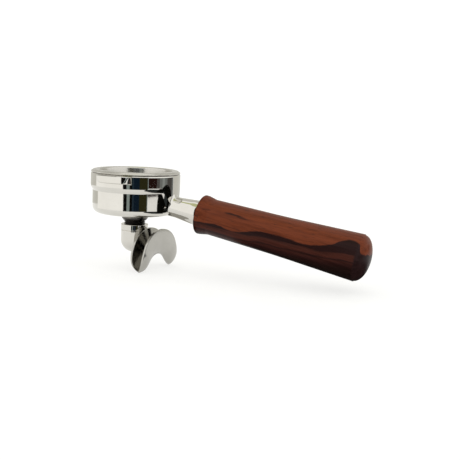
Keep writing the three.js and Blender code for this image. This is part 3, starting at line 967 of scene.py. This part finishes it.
camera = bpy.data.objects.new("camera", bpy.data.cameras.new("camera"))
camera.data.lens = CAMERA_LENS
camera.data.clip_start = 0.01
camera.matrix_world = (
    Matrix.Translation(Vector(CAMERA_AIM) * MM)
    @ Matrix.Rotation(math.radians(CAMERA_TURN), 4, "Z")
    @ Matrix.Rotation(math.radians(90 - CAMERA_ELEVATION), 4, "X")
    @ Matrix.Translation((0, 0, CAMERA_DISTANCE * MM))
    @ Matrix.Rotation(math.radians(-CAMERA_PAN), 4, "Y")
    @ Matrix.Rotation(math.radians(-CAMERA_TILT), 4, "X")
    @ Matrix.Rotation(math.radians(-CAMERA_ROLL), 4, "Z")
)
bpy.context.scene.collection.objects.link(camera)
bpy.context.scene.camera = camera
bpy.context.scene.view_settings.view_transform = "Standard"

world = bpy.data.worlds.new("studio")
world.use_nodes = True
world.node_tree.nodes["Background"].inputs["Color"].default_value = (1.0, 0.995, 0.98, 1)
world.node_tree.nodes["Background"].inputs["Strength"].default_value = 1.25
bpy.context.scene.world = world

FLOOR_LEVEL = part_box("spout_chute")[0].z / MM
FLOOR_HALF_SIZE = 4000


def floor():
    """Plain pale floor that the spout's tips stand on."""
    corners = [(-1, -1), (1, -1), (1, 1), (-1, 1)]
    mesh = bpy.data.meshes.new("floor")
    mesh.from_pydata([
        (x * FLOOR_HALF_SIZE * MM, y * FLOOR_HALF_SIZE * MM, FLOOR_LEVEL * MM) for x, y in corners
    ], [], [(0, 1, 2, 3)])
    graph = Graph("pale floor", Roughness=0.9, Specular_IOR_Level=0.1, Emission_Strength=0.66)
    graph.shader.inputs["Emission Color"].default_value = (1, 1, 0.985, 1)
    speckle = graph.noise(graph.place(), 30, 2)
    mesh.materials.append(graph.feed(Base_Color=graph.ramp(speckle, [
        (0.3, (0.31, 0.31, 0.305)), (0.7, (0.33, 0.33, 0.325)),
    ])))
    linked("floor", mesh)


def panel(name, corners, faces, color):
    """Glowing studio panel that only the reflections show."""
    mesh = bpy.data.meshes.new(name)
    mesh.from_pydata([tuple(value * MM for value in corner) for corner in corners], [], faces)
    material = bpy.data.materials.new(name)
    material.use_nodes = True
    tree = material.node_tree
    tree.nodes.remove(tree.nodes["Principled BSDF"])
    glow = tree.nodes.new("ShaderNodeEmission")
    glow.inputs["Color"].default_value = (*color, 1)
    tree.links.new(glow.outputs[0], tree.nodes["Material Output"].inputs["Surface"])
    mesh.materials.append(material)
    obj = linked(name, mesh)
    obj.visible_camera = False
    obj.visible_diffuse = False
    obj.visible_shadow = False
    obj.visible_transmission = False


def card(name, start, end, distance, height, color):
    """Panel bent round the object from one azimuth to another, standing on the floor."""
    steps = 12
    corners = []
    for k in range(steps + 1):
        turn = math.radians(start + (end - start) * k / steps)
        for level in (FLOOR_LEVEL, FLOOR_LEVEL + height):
            corners.append((distance * math.cos(turn), distance * math.sin(turn), level))
    panel(name, corners, [(2 * k, 2 * k + 2, 2 * k + 3, 2 * k + 1) for k in range(steps)], color)


WHITE = (1.25, 1.24, 1.21)
SHADE = (0.74, 0.73, 0.68)
PALE = (0.30, 0.35, 0.34)
BLACK = (0.004, 0.004, 0.003)
PITCH = (0.03, 0.035, 0.035)
NAVY = (0.020, 0.035, 0.050)
INK = (0.006, 0.014, 0.026)
OLIVE = (0.030, 0.028, 0.010)
WINE = (0.020, 0.008, 0.006)
MIST = (0.31, 0.33, 0.32)
SLATE = (0.20, 0.21, 0.205)
UMBER = (0.09, 0.085, 0.08)
CEILING = (0.68, 0.70, 0.40)

# Cards stand on the floor side by side: azimuth where each starts, distance, height and colour
CARDS = [
    (-176, 300, 500, WHITE),
    (-91.5, 195, 140, BLACK),
    (-82.8, 195, 140, PALE),
    (-75.8, 195, 140, BLACK),
    (-69.8, 195, 140, NAVY),
    (-65.8, 195, 140, INK),
    (-52.8, 195, 140, OLIVE),
    (-33.8, 195, 140, PALE),
    (-32.3, 550, 95, WINE),
    (-8, 550, 95, UMBER),
    (0, 550, 95, SLATE),
    (8, 550, 95, MIST),
    (16, 550, 95, SLATE),
    (24, 550, 95, UMBER),
    (41, 550, 95, SLATE),
    (47, 420, 900, SHADE),
    (184, 420, 900, SHADE),
]

# Ceiling panel over the object, and four dark panels close to it that only its reflections show, each
# putting painted shade into one patch of those reflections: flag stands beside the neck, mouth_shade is a
# disc at the grip's mouth, throat_shade stands inside the chute's throat and handle_shade lies just above
# the floor beside and under the grip
CEILING_HEIGHT = 500
CEILING_CORNERS = [(-100, -271), (214, -104), (79, 152), (-235, -15)]
FLAG_AT = 55
FLAG_CORNERS = [(-17, -50), (-9.5, -50), (-9.5, -17), (-17, -17)]
MOUTH_SHADE_RADIUS = 19
MOUTH_SHADE_GAP = 0.7
THROAT_SHADE_AT = 21
THROAT_SHADE_CORNERS = [(2.5, -56), (7, -56), (7, -44), (2.5, -44)]
HANDLE_SHADE_HEIGHT = 0.5
HANDLE_SHADE_CORNERS = [(72, -25), (90, -80), (130, -110), (250, -130), (250, 60), (72, 20)]


def flat_panel(name, corners, color):
    panel(name, corners, [tuple(range(len(corners)))], color)


floor()
for number, (entry, following) in enumerate(zip(CARDS, CARDS[1:])):
    card(f"card_{number}", entry[0], following[0], *entry[1:])
flat_panel("ceiling", [(x, y, CEILING_HEIGHT) for x, y in CEILING_CORNERS], CEILING)
flat_panel("flag", [(FLAG_AT, y, z) for y, z in FLAG_CORNERS], BLACK)
mouth = [Vector(corner) for corner in circle(MOUTH_SHADE_RADIUS, WOOD_START - MOUTH_SHADE_GAP, 24)]
flat_panel("mouth_shade", [HANDLE_PLACE @ (corner * MM) / MM for corner in mouth], BLACK)
flat_panel("throat_shade", [(THROAT_SHADE_AT, y, z) for y, z in THROAT_SHADE_CORNERS], BLACK)
# Painted shade: a dark sheet under the grip, seen only in reflections, in place of shadowed floor
flat_panel("handle_shade", [
    (x, y, FLOOR_LEVEL + HANDLE_SHADE_HEIGHT) for x, y in HANDLE_SHADE_CORNERS
], PITCH)
